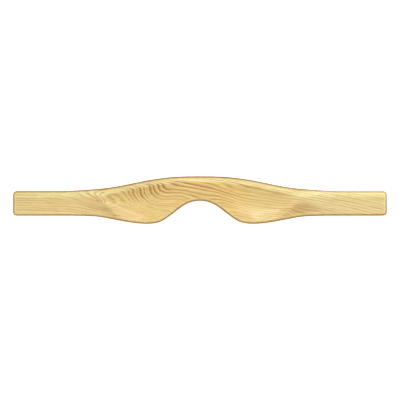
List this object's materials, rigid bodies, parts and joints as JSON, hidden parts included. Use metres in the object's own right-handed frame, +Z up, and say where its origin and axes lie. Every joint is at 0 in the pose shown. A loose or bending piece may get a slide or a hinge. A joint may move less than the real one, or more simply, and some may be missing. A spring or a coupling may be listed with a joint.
{
  "type": "canoe carrying yoke",
  "caption": "One-piece carved wooden carrying yoke with a neck notch, dished shoulder rests and straight bar ends that bolt under a canoe's gunwales.",
  "frame": {"origin": "middle of the bounding box at the level of the flat back that the yoke lies on", "axes": "+X along the yoke, +Y towards its arched back edge, away from the neck notch, +Z up out of the carved side that rests on the shoulders"},
  "size_m": [0.9144, 0.117, 0.034],
  "materials": {
    "oiled_ash": "clear satin varnish over pale ash with tan growth rings"
  },
  "bodies": {
    "root": {"carrying_yoke": "oiled_ash"}
  },
  "joints": []
}
